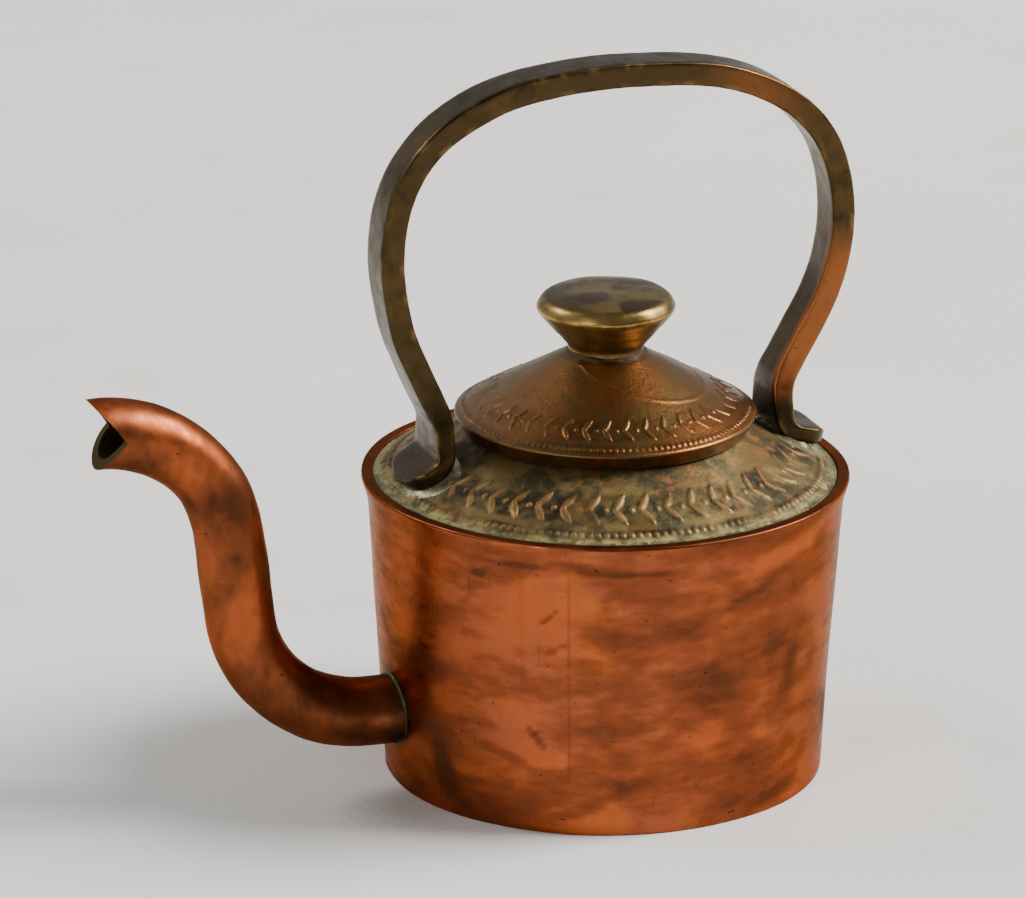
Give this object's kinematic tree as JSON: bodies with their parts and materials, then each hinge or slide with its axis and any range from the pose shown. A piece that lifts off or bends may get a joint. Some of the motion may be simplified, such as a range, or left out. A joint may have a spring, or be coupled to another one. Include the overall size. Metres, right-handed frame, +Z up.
{
  "type": "miniature kettle",
  "caption": "Small copper kettle with a dished disc shoulder, lift-off disc lid with turned knob, bent tube spout and brass arch handle.",
  "frame": {"origin": "centre of the underside of the base", "axes": "+Z up, spout towards -X, handle in the XZ plane"},
  "size_m": [0.0527, 0.0326, 0.0487],
  "materials": {
    "copper": "tarnished satin copper",
    "bronze": "olive patina with worn high spots",
    "lid_bronze": "brown patina, worn smooth",
    "brass": "dull brass with dark patches",
    "solder": "dull grey soft solder"
  },
  "bodies": {
    "kettle": {"body_shell": "copper", "base_disc": "copper", "base_solder": "solder", "spout": "copper", "spout_solder": "solder", "shoulder_disc": "bronze", "shoulder_solder": "solder", "handle": "brass", "handle_solder_left": "solder", "handle_solder_right": "solder"},
    "lid": {"lid_disc": "lid_bronze", "lid_register": "copper", "register_solder": "solder", "knob": "brass", "knob_solder": "solder"}
  },
  "joints": [
    {"name": "lid_lift", "type": "slide", "parent": "kettle", "child": "lid", "axis": [0, 0, 1], "range_m": [0, 0.0125]}
  ]
}
